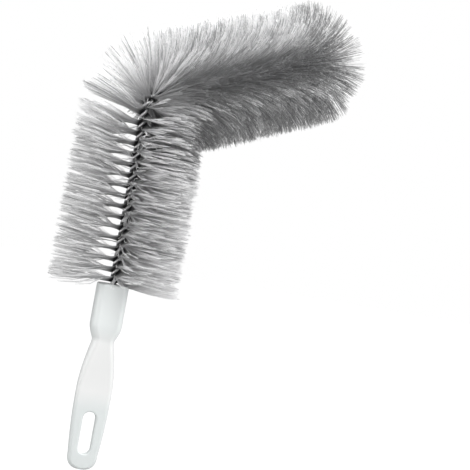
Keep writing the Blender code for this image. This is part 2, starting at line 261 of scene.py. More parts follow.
class Signal:
    """A number or colour that varies over a surface: one socket, on which arithmetic adds Math nodes."""

    def __init__(self, graph, socket):
        self.graph = graph
        self.socket = socket

    def maths(self, operation, first, second=0):
        return self.graph.node("ShaderNodeMath", {"operation": operation}, {0: first, 1: second})

    def __add__(self, other):
        return self.maths("ADD", self, other)

    def __sub__(self, other):
        return self.maths("SUBTRACT", self, other)

    def __rsub__(self, other):
        return self.maths("SUBTRACT", other, self)

    def __mul__(self, other):
        return self.maths("MULTIPLY", self, other)

    def __truediv__(self, other):
        return self.maths("DIVIDE", self, other)

    def __abs__(self):
        return self.maths("ABSOLUTE", self)

    def clipped(self):
        return self.graph.node("ShaderNodeClamp", None, {"Value": self})

    def part(self, index):
        """One coordinate of a place."""
        return self.graph.node("ShaderNodeSeparateXYZ", None, {0: self}, output=index)

    __radd__ = __add__
    __rmul__ = __mul__


# %% [markdown]
# ## Handle plastic
# The handle is one satin white moulding. One flat white would do from afar, but up close small changes
# make it look real. A colour ramp over the height paints light and shade: the thin paddle and the hollow
# socket get painted shade, a little greyer and cooler than the thick grip between them, which is painted
# lighter. Painted shade greys the rounded edges. The gloss is uneven, the mould has left a fine grain, and
# a hair-thin line shows where the mould's two halves met, half way through the thickness.

# %% Handle plastic
HANDLE_LENGTH = 142 * MM
PARTING_LINE_WIDTH = 0.12 * MM


def make_handle_plastic():
    look = Look("handle_plastic", (0.8, 0.82, 0.81), 0.36)
    places = look.places()
    clouds = look.noise(places, 45, 3)
    height = (places.part(2) / HANDLE_LENGTH + 0.5 + clouds * 0.03).clipped()
    # Painted light and shade over the height: the grip lighter, the socket and the paddle greyer.
    painted_shade_ramp = look.ramp(height, [
        (0.33, (0.71, 0.745, 0.74)),
        (0.43, (0.82, 0.825, 0.82)),
        (0.68, (0.83, 0.835, 0.83)),
        (0.76, (0.79, 0.82, 0.815)),
    ])
    # Painted shade on the rounded edges and round the slot.
    painted_edge_shade = look.stored("edge") * 0.7
    look.feed(look.shader.inputs["Base Color"], look.mixed(painted_edge_shade, painted_shade_ramp, (0.42, 0.44, 0.44, 1)))
    look.feed(look.shader.inputs["Roughness"], 0.30 + look.noise(places, 160) * 0.16)
    parting = 1 - (abs(places.part(1)) / PARTING_LINE_WIDTH).clipped()
    grain = look.noise(places, 2600, 1) * 0.12
    look.bump(grain + parting, 0.05 * MM)
    return look.material


handle_plastic = make_handle_plastic()
print("material:", handle_plastic.name)

# %% [markdown]
# ## Handle
# Seen from the front, the handle is an outline: a straight socket, a waist, a grip that swells and a
# round end. Seen from the side it thins from the socket to a flat paddle. So the surface is a row for
# each depth below the mouth, and in a row each point's thickness depends only on how far it lies inside
# the outline: flat in the middle, and a quarter circle along the edge. The slot's edge is rounded too.
# Cutting and rounding boxes would be quicker, but this way every edge has an even row of faces.

# %% Handle sizes
GRIP_CENTRE_DEPTH = 70 * MM
SOCKET_LENGTH = 31 * MM
SOCKET_WIDTH = 24 * MM
SOCKET_THICKNESS = 16.5 * MM
SOCKET_EDGE_RADIUS = 6.5 * MM
MOUTH_ROUNDING = 1.2 * MM
WAIST_DEPTH = 43 * MM
WAIST_WIDTH = 16.6 * MM
WAIST_THICKNESS = 12.5 * MM
GRIP_WIDEST_DEPTH = 82 * MM
GRIP_WIDTH = 27.4 * MM
PADDLE_DEPTH = 86 * MM
PADDLE_THICKNESS = 7.2 * MM
PADDLE_EDGE_RADIUS = 3 * MM
END_DEPTH = 130 * MM
END_WIDTH = 22.8 * MM
SLOT_LENGTH = 32.4 * MM
SLOT_WIDTH = 10 * MM
SLOT_CENTRE_DEPTH = 113.8 * MM
SLOT_EDGE_RADIUS = 1.1 * MM
BORE_RADIUS = 3.45 * MM
BORE_DEPTH = 51.6 * MM
SHOULDER_POWER = 1.6
END_SQUARENESS = 2.6
SOFTENING = 1.2 * MM
SOFTENING_STEPS = 9


def half_width(depth):
    """The outline: straight socket, shoulder, sine swell to the grip, square taper, round end."""
    shoulder = np.clip((depth - SOCKET_LENGTH) / (WAIST_DEPTH - SOCKET_LENGTH), 0, 1)
    swell = np.clip((depth - WAIST_DEPTH) / (GRIP_WIDEST_DEPTH - WAIST_DEPTH), 0, 1)
    taper = np.clip((depth - PADDLE_DEPTH) / (END_DEPTH - PADDLE_DEPTH), 0, 1)
    rounding = np.clip((depth - END_DEPTH) / (HANDLE_LENGTH - END_DEPTH), 0, 1)
    width = between(SOCKET_WIDTH, WAIST_WIDTH, shoulder ** SHOULDER_POWER)
    width = width + (GRIP_WIDTH - WAIST_WIDTH) * np.sin(np.pi / 2 * swell)
    width = width + (END_WIDTH - GRIP_WIDTH) * taper ** 2
    return width / 2 * (1 - rounding ** END_SQUARENESS) ** (1 / END_SQUARENESS)


def half_thickness(depth):
    """Straight socket, shoulder, and a smooth step from the waist's thickness to the paddle's."""
    shoulder = np.clip((depth - SOCKET_LENGTH) / (WAIST_DEPTH - SOCKET_LENGTH), 0, 1)
    at_waist = between(SOCKET_THICKNESS, WAIST_THICKNESS, shoulder ** SHOULDER_POWER)
    return between(at_waist, PADDLE_THICKNESS, step(depth, WAIST_DEPTH, PADDLE_DEPTH)) / 2


def edge_radius(depth):
    return between(SOCKET_EDGE_RADIUS, PADDLE_EDGE_RADIUS, step(depth, WAIST_DEPTH, PADDLE_DEPTH))


def softened(profile, depth):
    """The mean of a profile over a few millimetres, as a mould's polished corners are."""
    offsets = np.linspace(-SOFTENING, SOFTENING, SOFTENING_STEPS)
    return sum(profile(depth + offset) for offset in offsets) / len(offsets)


print("waist, mm:", round(float(softened(half_width, WAIST_DEPTH)) * 2 / MM, 2))

# %% Handle rows
SLOT_STEPS = 14
EDGE_STEPS = 7
ABOVE_SLOT_ROWS = 90
END_ROWS = 26
THICKEST_EDGE_SHARE = 0.96


def slot_outline(offset):
    """Half of the slot's outline from its top to its bottom, moved out by an offset: x and depth."""
    turn = np.linspace(0, np.pi / 2, SLOT_STEPS)
    reach = SLOT_WIDTH / 2 + offset
    straight = (SLOT_LENGTH - SLOT_WIDTH) / 2
    side = np.linspace(-straight, straight, SLOT_STEPS)[1:-1]
    x = np.concatenate([reach * np.sin(turn), np.full(len(side), reach), reach * np.cos(turn)])
    depth = np.concatenate([-straight - reach * np.cos(turn), side, straight + reach * np.sin(turn)])
    return x, SLOT_CENTRE_DEPTH + depth


def handle_rows():
    """For each row: depth, half width, half thickness, edge radius and the slot's half width."""
    turn = np.linspace(0, np.pi / 2, EDGE_STEPS)
    mouth_depth = MOUTH_ROUNDING * (1 - np.cos(turn))
    mouth_inset = MOUTH_ROUNDING * (1 - np.sin(turn))
    slot_x, slot_depth = slot_outline(SLOT_EDGE_RADIUS)
    above = np.linspace(MOUTH_ROUNDING, slot_depth[0], ABOVE_SLOT_ROWS)[1:-1]
    end_turn = math.asin((slot_depth[-1] - END_DEPTH) / (HANDLE_LENGTH - END_DEPTH))
    end_share = np.sin(np.linspace(end_turn, np.pi / 2, END_ROWS)[1:]) ** (2 / END_SQUARENESS)
    end = between(END_DEPTH, HANDLE_LENGTH, end_share)
    depth = np.concatenate([mouth_depth, above, slot_depth, end[end > slot_depth[-1]]])
    inset = np.zeros_like(depth)
    inset[:len(mouth_inset)] = mouth_inset
    slot = np.zeros_like(depth)
    first = len(mouth_depth) + len(above)
    slot[first:first + len(slot_x)] = slot_x
    inner = (depth > MOUTH_ROUNDING + SOFTENING) & (depth < END_DEPTH - SOFTENING)
    width = np.where(inner, softened(half_width, depth), half_width(depth))
    thickness = np.where(inner, softened(half_thickness, depth), half_thickness(depth))
    radius = np.minimum(edge_radius(depth), thickness * THICKEST_EDGE_SHARE) - inset
    return depth, width - inset, thickness - inset, radius, slot


print("rows down the handle:", len(handle_rows()[0]))

# %% [markdown]
# ## From rows to a surface
# A row's points are spread evenly over the flat face and closely round the edge. Where the slot crosses
# a row, the row starts at the slot's rounded edge and not in the middle. Only the half with x > 0 is
# worked out. The other half is its mirror image, which costs nothing and keeps the moulding symmetric.

# %% Front and back
FLAT_COLUMNS = 10
ROUND_COLUMNS = 12
SLOT_EDGE_ROOM_SHARE = 0.6
TINY = 1e-9


def handle_skin():
    """Front and back of the half with x > 0. How far a point lies inside the outline is
    (w^2 - x^2) / (2 sqrt(x^2 + (w w')^2)), and the thickness there follows a quarter circle."""
    depth, width, thickness, radius, slot = (row[:, None] for row in handle_rows())
    slope = np.gradient(width[:, 0] ** 2 / 2, depth[:, 0])[:, None]
    slope[:EDGE_STEPS] = 0

    def inside_by(x):
        return (width ** 2 - x ** 2) / (2 * np.sqrt(x ** 2 + slope ** 2) + TINY)

    most = np.minimum(radius, inside_by(slot) * SLOT_EDGE_ROOM_SHARE)
    inset = most * (1 - np.cos(np.linspace(np.pi / 2, 0, ROUND_COLUMNS)))[None]
    root = -inset + np.sqrt(inset ** 2 + width ** 2 + slope ** 2)
    round_x = np.sqrt(np.maximum(root ** 2 - slope ** 2, 0))
    flat_x = between(slot, round_x[:, :1], np.linspace(0, 1, FLAT_COLUMNS)[None, :-1])
    x = np.concatenate([flat_x, round_x], axis=1)
    inset = np.clip(inside_by(x), 0, radius)
    y = thickness - radius + np.sqrt(np.maximum(radius ** 2 - (radius - inset) ** 2, 0))
    z = np.broadcast_to(GRIP_CENTRE_DEPTH - depth, x.shape)
    front = np.stack([x, -y, z], axis=-1)
    back = np.stack([x, y, z], axis=-1)[:, ::-1]
    return np.concatenate([front, back], axis=1)


skin = handle_skin()
print("front and back, rows and columns:", skin.shape[:2])

# %% Slot and mouth
def slot_wall(thickness):
    """The slot's inside: a quarter round, the wall and a quarter round, along half of its outline."""
    rows = []
    for turn in np.linspace(0, np.pi / 2, EDGE_STEPS):
        deep = SLOT_EDGE_RADIUS * (1 - np.cos(turn))
        rows.append((SLOT_EDGE_RADIUS * (1 - np.sin(turn)), thickness - deep))
    rows += [(out, -y) for out, y in rows[::-1]]
    patch = []
    for out, y in rows:
        x, depth = slot_outline(out)
        patch.append(np.stack([x, np.full_like(x, -y), GRIP_CENTRE_DEPTH - depth], axis=-1))
    return np.stack(patch)


def mouth_cap(rim):
    """From the rim in to the wire's bore, down the bore and shut at its bottom."""
    angle = np.arctan2(rim[:, 1], rim[:, 0])
    circle = np.stack([np.cos(angle) * BORE_RADIUS, np.sin(angle) * BORE_RADIUS, rim[:, 2]], axis=-1)
    deep = np.array([0, 0, BORE_DEPTH])
    centre = circle * [0, 0, 1]
    return np.stack([rim, between(rim, circle, 0.5), circle, circle - deep, centre - deep])


half_patches = [skin, slot_wall(PADDLE_THICKNESS / 2), mouth_cap(skin[0])]
print("patches of one half:", len(half_patches))

# %% Numbers on a mesh
def store_number(mesh, name, values):
    stored = mesh.attributes.new(name, "FLOAT", "POINT")
    stored.data.foreach_set("value", values.astype(np.float32))


def point_places(mesh):
    places = np.empty(len(mesh.vertices) * 3)
    mesh.vertices.foreach_get("co", places)
    return places.reshape(-1, 3)


def edge_share(places):
    """0 on the flat faces, growing round the edge to 1 at the outline and in the slot: how far a point
    lies below the flat face, as a share of the edge's radius."""
    depth = GRIP_CENTRE_DEPTH - places[:, 2]
    below = softened(half_thickness, depth) - np.abs(places[:, 1])
    return np.clip(below / edge_radius(depth), 0, 1)


# %% Handle
HANDLE_MERGE = 0.002 * MM
SHARP_ANGLE = math.radians(50)


def make_handle():
    patches = half_patches + [patch * [-1, 1, 1] for patch in half_patches]
    handle = piece_from_patches("handle_moulding", patches, handle_plastic, merge=HANDLE_MERGE)
    handle.data.set_sharp_from_angle(angle=SHARP_ANGLE)
    # The edge share carries the handle's painted edge shade.
    store_number(handle.data, "edge", edge_share(point_places(handle.data)))
    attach(handle, "handle_half")
    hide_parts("handle")


make_handle()

# %% [markdown]
# ## The stem's centre line
# Everything in the head hangs on one line: straight up out of the handle, round an arc of 17 mm, and
# straight again. The functions take whole arrays of distances along it. A direction around the line is an
# angle, counted from the inside of the bend, and the twist turns that angle once every 16 mm. A curve
# object could hold the line too, but a formula also gives its directions at any place.

# %% Centre line
BEND_START = 130 * MM
BEND_RADIUS = 17 * MM
BEND_ANGLE = math.radians(72)
FRONT_LENGTH = 172 * MM
TWIST_PITCH = 16 * MM
FOLD_STRAIGHT = 2.5 * MM
WIRE_RADIUS = 1.3 * MM
WIRE_ORBIT = 1.85 * MM
WIRE_INSERTION = 50 * MM
PINCH_REACH = 3.45 * MM
BEND_HEADING = math.radians(30)
BEND_END = BEND_START + BEND_RADIUS * BEND_ANGLE
STEM_END = BEND_END + FRONT_LENGTH
TWIST_END = STEM_END - FOLD_STRAIGHT

up = np.array([0.0, 0.0, 1.0])
heading = np.array([math.cos(BEND_HEADING), math.sin(BEND_HEADING), 0.0])
bend_axis = np.cross(up, heading)
mouth = up * GRIP_CENTRE_DEPTH


def stem_frame(along):
    """Point, tangent and inward direction: a line, then an arc turned by (along - start) / radius."""
    along = np.asarray(along, float)[..., None]
    turned = np.clip((along - BEND_START) / BEND_RADIUS, 0, BEND_ANGLE)
    tangent = heading * np.sin(turned) + up * np.cos(turned)
    inward = heading * np.cos(turned) - up * np.sin(turned)
    arc = heading * (BEND_RADIUS * (1 - np.cos(turned))) + up * (BEND_RADIUS * np.sin(turned))
    straight = up * np.minimum(along, BEND_START) + tangent * np.maximum(along - BEND_END, 0)
    return mouth + straight + arc, tangent, inward


def twist_angle(along):
    """One right-handed turn a pitch, held straight over the last bit before the fold."""
    return 2 * np.pi * np.minimum(along, TWIST_END) / TWIST_PITCH


def around(inward, angle):
    """The direction at an angle round the stem: cos(angle) inward + sin(angle) along the bend's axis."""
    angle = np.asarray(angle)[..., None]
    return inward * np.cos(angle) + bend_axis * np.sin(angle)


print("stem end, mm:", np.round(stem_frame(STEM_END)[0] / MM, 1))

# %% [markdown]
# ## Wire
# The wire is drawn steel with a thin dull zinc coat. Painted shade makes it dark in the crease between its
# two legs and lighter where it faces out, and random spots where hands and filaments have rubbed it are
# brighter. The crease is stored on the mesh as a number from 0, facing the other leg, to 1, facing out.

# %% Wire steel
def make_wire_steel():
    look = Look("wire_steel", (0.42, 0.42, 0.43), 0.28, 1)
    places = look.places()
    outward = look.stored("outward")
    spots = look.noise(places, 700, 3)
    # Painted shade in the crease between the legs, mixed with random spots of wear.
    wear_and_crease_shade = (outward * 0.8 + spots * 0.5 - 0.15).clipped()
    look.feed(look.shader.inputs["Base Color"], look.ramp(wear_and_crease_shade, [
        (0.1, (0.03, 0.029, 0.028)),
        (0.3, (0.2, 0.2, 0.202)),
        (0.6, (0.5, 0.5, 0.505)),
    ]))
    look.feed(look.shader.inputs["Roughness"], 0.45 - wear_and_crease_shade * 0.15)
    look.bump(look.noise(places, 1500, 2), 0.03 * MM)
    return look.material


wire_steel = make_wire_steel()
print("material:", wire_steel.name)

# %% [markdown]
# ## Twisted stem
# It is one wire: up one leg, round a hairpin at the tip and down the other leg. A circle is carried along
# that path, square to it. Both legs follow the stem's bend.

# %% Wire path
WIRE_STEP = 0.8 * MM
FOLD_STEPS = 9


def leg_path(side):
    """One leg's points, and the direction from the centre line out to them."""
    along = np.linspace(-WIRE_INSERTION, STEM_END, math.ceil((STEM_END + WIRE_INSERTION) / WIRE_STEP))
    point, _, inward = stem_frame(along)
    out = around(inward, twist_angle(along) + np.pi * side)
    return point + out * WIRE_ORBIT, out


def wire_path():
    """Both legs and the half circle that joins them at the tip."""
    up_leg, up_out = leg_path(0)
    down_leg, down_out = leg_path(1)
    tip, tangent, _ = stem_frame(STEM_END)
    turn = np.linspace(0, np.pi, FOLD_STEPS + 2)[1:-1, None]
    fold_out = up_out[-1] * np.cos(turn) + tangent * np.sin(turn)
    path = np.concatenate([up_leg, tip + fold_out * WIRE_ORBIT, down_leg[::-1]])
    return path, np.concatenate([up_out, fold_out, down_out[::-1]])


print("points along the wire:", len(wire_path()[0]))

# %% Stem wire
WIRE_SIDES = 14
LINE_POINTS = 1200
LINE_POINTS_AT_ONCE = 100


def tube(path, out, radius, sides):
    """A circle of `sides` points carried along a path, its ends drawn in to a point to close them."""
    along = unit(np.gradient(path, axis=0))
    across = unit(out - along * np.sum(out * along, axis=1, keepdims=True))
    other = np.cross(along, across)
    turn = np.linspace(0, 2 * np.pi, sides + 1)[:, None]
    ring = across[:, None] * np.cos(turn) + other[:, None] * np.sin(turn)
    wall = path[:, None] + ring * radius
    ends = [np.repeat(path[i:i + 1, None], sides + 1, axis=1) for i in (0, len(path) - 1)]
    return np.concatenate([ends[0], wall, ends[1]])


def distance_from_stem(places):
    """Each place's distance from the nearest of a fine row of points on the centre line."""
    line = stem_frame(np.linspace(-WIRE_INSERTION, STEM_END, LINE_POINTS))[0]
    nearest = np.full(len(places), np.inf)
    for start in range(0, LINE_POINTS, LINE_POINTS_AT_ONCE):
        gaps = np.linalg.norm(places[:, None] - line[None, start:start + LINE_POINTS_AT_ONCE], axis=2)
        nearest = np.minimum(nearest, gaps.min(axis=1))
    return nearest


def make_stem_wire():
    path, out = wire_path()
    stem = piece_from_patches("stem_wire", [tube(path, out, WIRE_RADIUS, WIRE_SIDES)], wire_steel)
    from_stem = distance_from_stem(point_places(stem.data))
    outward = np.clip((from_stem - WIRE_ORBIT + WIRE_RADIUS) / (2 * WIRE_RADIUS), 0, 1)
    # The crease number carries the wire's painted shade.
    store_number(stem.data, "outward", outward)
    stem_frame(BEND_START)[0]
    stem_frame(BEND_END)[0]
    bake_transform(stem)
    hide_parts("rear_wire_a", "rear_wire_b", "bend_wire_a", "bend_wire_b", "front_wire")


make_stem_wire()

# %% [markdown]
# ## Filament nylon
# The filaments are fine grey nylon. No two locks have quite the same grey, and every filament is darker in
# the crowded middle than further out, which is painted shade. Both come from numbers stored on the mesh:
# `shade`, the strand's grey with its painted shade and glint, and `reach`, from 0 at the wire to 1 at the
# tip. One ramp gives the grey near the wire, one the grey near the tip, and one paints shade on the roots.
# An image texture would need a place for every strand.

# %% Filament nylon
def make_filament_nylon():
    look = Look("filament_nylon", (0.4, 0.4, 0.41), 0.42)
    shade = look.stored("shade")
    reach = look.stored("reach")
    inner = look.ramp(shade, [
        (0.04, (0.24, 0.24, 0.244)),
        (0.12, (0.6, 0.6, 0.606)),
        (1.0, (0.88, 0.88, 0.886)),
    ])
    outer = look.ramp(shade, [
        (0.04, (0.25, 0.25, 0.254)),
        (0.12, (0.26, 0.26, 0.263)),
        (0.3, (0.46, 0.46, 0.464)),
        (0.52, (0.97, 0.97, 0.974)),
    ])
    # Painted shade at the roots: this ramp darkens every strand near the wire.
    painted_shade_ramp = look.ramp(reach, [
        (0.06, (0.02, 0.02, 0.02)),
        (0.1, (0.4, 0.4, 0.4)),
        (0.15, (0.85, 0.85, 0.85)),
        (0.4, (0.95, 0.95, 0.95)),
        (0.7, (1.0, 1.0, 1.0)),
    ])
    own = look.mixed((reach * 2 - 0.5).clipped(), inner, outer)
    look.feed(look.shader.inputs["Base Color"], look.mixed(painted_shade_ramp, (0.01, 0.01, 0.01, 1), own))
    look.feed(look.shader.inputs["Roughness"], 0.5 - shade * 0.15)
    return look.material


filament_nylon = make_filament_nylon()
print("material:", filament_nylon.name)

# %% [markdown]
# ## Locks
# Filaments leave the twist on two opposite sides, so their roots wind round the stem twice a turn. They
# stick together in small locks that share a lean, a length and a grey. Those of the rear half are the
# largest and the loosest. A hair system would scatter single strands evenly, so the locks are drawn at
# random first, as one array for each of their numbers, and then each lock gets its strands.

# %% Locks
BRUSH_RADIUS = 50 * MM
BRUSH_START = 1.5 * MM
LOCK_STARTS = np.array([BRUSH_START, BEND_START, BEND_END, TWIST_END])
LOCKS_PER_MM = np.array([16, 31, 27])
LOCK_TURN = math.radians(8)
TUFT_SPREAD = 4.2 * MM
LENGTH_CHANGE = 0.016
BEND_LENGTH_CHANGE = 0.035
rng = np.random.default_rng(7)


def draw_locks():
    """Each lock's place along the stem, side of the twist, turn, spread, grey and length."""
    before = np.append(0, np.cumsum(np.diff(LOCK_STARTS) / MM * LOCKS_PER_MM))
    count = round(before[-1])
    along = np.interp(np.arange(count) + rng.random(count), before, LOCK_STARTS)
    on_bend = (along > BEND_START) & (along < BEND_END)
    return {
        "along": along,
        "side": rng.integers(0, 2, count),
        "turn": rng.normal(0, LOCK_TURN, count),
        "spread": rng.uniform(-TUFT_SPREAD, TUFT_SPREAD, count),
        "shade": rng.random(count),
        "length": rng.normal(1, np.where(on_bend, BEND_LENGTH_CHANGE, LENGTH_CHANGE)),
    }


locks = draw_locks()
lock_count = len(locks["along"])
print("locks:", lock_count)

# %% Strands of the locks
REAR_LOCK_STRANDS = 5
FINE_LOCK_STRANDS = 3
ROOT_SCATTER = 0.15 * MM
BEND_LOOSENESS = 0.25
FRONT_LOOSENESS = 0.6
TIGHT_END = BEND_END + 2 * MM


def draw_strands():
    """Each strand's lock, how loosely it keeps to that lock, and its own place along the stem."""
    rear = locks["along"] < BEND_START
    lock = np.repeat(np.arange(lock_count), np.where(rear, REAR_LOCK_STRANDS, FINE_LOCK_STRANDS))
    fine = np.where(locks["along"] < TIGHT_END, BEND_LOOSENESS, FRONT_LOOSENESS)
    looseness = np.where(rear, 1, fine)[lock]
    along = locks["along"][lock] + rng.normal(0, ROOT_SCATTER, len(lock)) * looseness
    return lock, looseness, np.clip(along, BRUSH_START, TWIST_END)


lock, looseness, along = draw_strands()
print("strands:", len(lock))

# %% [markdown]
# ## Combing
# A hand has stroked the rear half. Its filaments part along a line on the side towards the camera and
# along another at the back: two thirds lie to the right and a third to the left. A few locks have strayed
# from that. The roots stay where the twist has them, so combing only turns the way that a strand points.
# On the left, what leaves the twist in one turn is squeezed towards one tuft.

# %% Combing
PARTING_SIDE = math.radians(-134)
RIGHT_SIDE = PARTING_SIDE + math.pi / 2
LEFT_SIDE = PARTING_SIDE - math.pi / 2
COMB_FROM_SHARES = np.array([0, 0.66, 0.6601, 1])
COMB_TO_SHARES = np.array([0.035, 0.46, 0.63, 0.88])
COMB_FADE = 20 * MM
STRAY_SHARE = 0.05
OWN_TURN = math.radians(0.5)
# Each pair, here and below, is where a change starts and where it is complete.
COMB_GROWS = (-4 * MM, 10 * MM)
SQUEEZE_GROWS = (0, 24 * MM)


def turned_from(angle, side):
    """How far an angle is turned from a side, from -pi to pi."""
    return (angle - side + np.pi) % (2 * np.pi) - np.pi


def combed(angle, along):
    """A strand's share of the turn round from the parting is moved from one table to the other: the first
    two thirds go to the right and the last third to the left, with a gap at the parting and one at the
    back. This grows over the head's first centimetre and fades through the bend. The second result says
    how far a strand was sent to the left, from 0 to 1."""
    share = ((angle - PARTING_SIDE) / (2 * np.pi)) % 1
    moved = np.interp(share, COMB_FROM_SHARES, COMB_TO_SHARES)
    weight = ease((BEND_END - along) / COMB_FADE) * step(along, *COMB_GROWS)
    return angle + 2 * np.pi * (moved - share) * weight, weight * (share > COMB_FROM_SHARES[1])


def comb_strands():
    """The angle at the root and the combed one, the share sent left, the way along the stem to the middle
    of a left strand's tuft, and the share of a right strand's drop as it leaves the twist."""
    root_angle = twist_angle(along) + np.pi / 2 + np.pi * locks["side"][lock]
    angle, left = combed(root_angle, along)
    stray = (rng.random(lock_count) < STRAY_SHARE)[lock]
    angle = np.where(stray, root_angle, angle)
    squeeze = -turned_from(root_angle, LEFT_SIDE) / (2 * np.pi) * TWIST_PITCH * left
    squeeze = squeeze * step(along, *SQUEEZE_GROWS)
    drop = np.clip(np.cos(angle - RIGHT_SIDE), 0, 1) * ease((BEND_END - along) / COMB_FADE)
    angle = angle + locks["turn"][lock] + rng.normal(0, OWN_TURN, len(lock))
    return root_angle, angle, left, squeeze, drop


root_angle, angle, left, squeeze, drop = comb_strands()
print("sent to the left, share of the strands:", round(float(np.mean(left > 0.5)), 2))

# %% [markdown]
# ## Inside the bend
# Inside the bend the filaments of both halves crowd into one wedge. Near the corner they lie along the
# plane that halves the bend, and the further back from the corner they start, the straighter they stand.
# Pushing crossing strands apart in small steps would be slow, and a lean that falls off evenly has a
# formula, so it is solved at once for every strand.

# %% Directions
CROWD_REACH = 55 * MM
CROWD_SLOPE = math.tan(BEND_ANGLE / 2)
bend_corner = mouth + up * (BEND_START + BEND_RADIUS * CROWD_SLOPE)


def strand_directions(edge, along, angle):
    """Outside the bend a strand stands straight out. Inside, a strand that starts `root` back from the
    corner leans back by CROWD_SLOPE (1 - root / CROWD_REACH). Returns the directions and the roots."""
    _, _, inward = stem_frame(along)
    front = (along > (BEND_START + BEND_END) / 2)[:, None]
    _, rear_tangent, rear_across = stem_frame(BEND_START)
    _, front_tangent, front_across = stem_frame(BEND_END)
    across = np.where(front, front_across, rear_across)
    away = np.where(front, front_tangent, -rear_tangent)
    offset = edge - bend_corner
    reach = np.sum(offset * across, axis=1)
    back = np.sum(offset * away, axis=1)
    root = (back - reach * CROWD_SLOPE) / (1 - reach * CROWD_SLOPE / CROWD_REACH)
    lean = CROWD_SLOPE * np.clip(1 - root / CROWD_REACH, 0, 1)
    inside = np.cos(angle)[:, None] * (across + away * lean[:, None]) + np.sin(angle)[:, None] * bend_axis
    outside = around(inward, angle)
    return unit(np.where(np.cos(angle)[:, None] > 0, inside, outside)), root


point, tangent, inward = stem_frame(along)
root_out = around(inward, root_angle)
direction, crowd_root = strand_directions(point + root_out * PINCH_REACH, along, angle)
print("strands that lean inside the bend:", int(np.sum((np.cos(angle) > 0) & (crowd_root < CROWD_REACH))))

# %% [markdown]
# ## Where the tips go
# A lock's tips lie a few millimetres up or down the stem from its roots, and further on the fan outside
# the bend, where there is room. Three habits of this head come on top. On the left of the rear half the
# lowest tufts droop to the handle and the others rise. The fan has a parting where it starts. Past that
# parting the locks on the left are pressed together into one flat lock. Each is a length along the stem,
# which the strand's path takes up on its way out.

# %% Tips
FAN_SHARE = 0.3
TIP_SCATTER = 0.2 * MM
FAN_PARTING = BEND_START - 2.5 * MM
FAN_PARTING_REACH = 5 * MM
FLAT_LOCK_PUSH = 16.5 * MM
FLAT_LOCK_GATHER = 1.35
FLAT_LOCK_FADES = (8 * MM, 12 * MM)
FLAT_LOCK_SIDES = (math.radians(55), math.radians(80))
MOUTH_DROOP = 3 * MM
MOUTH_DROOP_FADES = (0, 22 * MM)
LEFT_RISE = 3 * MM
TOP_RISE = 5 * MM
TOP_RISE_GROWS = (0.6 * BEND_START, BEND_START)
OWN_LENGTH_CHANGE = 0.012
MOST_LENGTH = 1.04


def fan_parting(along, angle):
    """1 on the outside of the bend near FAN_PARTING, eased to 0 further off."""
    off = np.abs(along - FAN_PARTING)
    return (1 - step(off, FAN_PARTING_REACH, 2 * FAN_PARTING_REACH)) * np.clip(-2 * np.cos(angle), 0, 1)


def tip_spread(along, angle):
    """The lock's spread and a scatter, more on the fan and none at its parting. A tip that would lie
    below the handle's mouth is mirrored up."""
    fan = 1 + FAN_SHARE * np.clip(-np.cos(angle), 0, 1) * BRUSH_RADIUS / BEND_RADIUS
    on_fan = (along > BEND_START - TUFT_SPREAD) & (along < BEND_END + TUFT_SPREAD)
    spread = locks["spread"][lock] + rng.normal(0, TIP_SCATTER, len(lock)) * looseness
    spread = spread * np.where(on_fan, fan, 1) * (1 - fan_parting(along, angle))
    return np.abs(along + spread) - along


def flat_lock_push(along, angle):
    """FLAT_LOCK_PUSH less FLAT_LOCK_GATHER times the way past the parting, on the left, and fading out
    within 12 mm of the parting."""
    past = along - FAN_PARTING
    push = (FLAT_LOCK_PUSH - FLAT_LOCK_GATHER * past) * (1 - step(past, *FLAT_LOCK_FADES))
    aside = np.abs(turned_from(angle, LEFT_SIDE))
    return np.where(past > 0, push * (1 - step(aside, *FLAT_LOCK_SIDES)), 0)


def left_rise(along):
    """From a droop at the mouth to LEFT_RISE, and TOP_RISE more near the bend, as far as the parting."""
    rise = between(-MOUTH_DROOP, LEFT_RISE, step(along, *MOUTH_DROOP_FADES))
    rise = rise + TOP_RISE * step(along, *TOP_RISE_GROWS)
    return np.where(along > FAN_PARTING, 0, rise)


spread = tip_spread(along, angle)
length = locks["length"][lock] + rng.normal(0, OWN_LENGTH_CHANGE, len(lock))
reach = BRUSH_RADIUS * np.minimum(length, MOST_LENGTH)
print("strand length, mm:", round(float(reach.mean()) / MM, 2))

# %% [markdown]
# ## Grey and painted shade
# Every lock has its own grey, and the front half has more dark locks than the rear half. Painted shade
# makes a dark stripe along the side of the front half that faces the camera. Painted shade also darkens
# that half's underside, and a stronger painted shadow the crook of the bend; the far end is darker all
# round, and a few locks under the front half get a painted glint. A strand's grey follows from where it
# starts and which way it points, so it is worked out and not drawn on an image.

# %% Painted shade
# Painted shade: the stripe, the underside and the crook's shadow; the far end is darker too.
SHADED_STRIPE_SIDE = math.radians(-104)
STRIPE_HALF_WIDTH = math.radians(6)
STRIPE_LOWER_FADE = math.radians(34)
STRIPE_UPPER_FADE = math.radians(31)
STRIPE_GROWS = (-38 * MM, 6 * MM)
STRIPE_FADES = (135 * MM, 160 * MM)
CROOK_PAINTED_SHADOW = 0.84
UNDERSIDE_PAINTED_SHADE = 0.68
CROOK_FADES = (0, 40 * MM)
UNDERSIDE_GROWS = (BEND_START - 42 * MM, BEND_START - 4 * MM)
UNDERSIDE_NEAR_SIDE = (0, math.radians(50))
UNDERSIDE_FAR_SIDE = (math.radians(120), math.radians(190))
END_DARKENING = 0.62
END_DARKENING_GROWS = (138 * MM, 158 * MM)


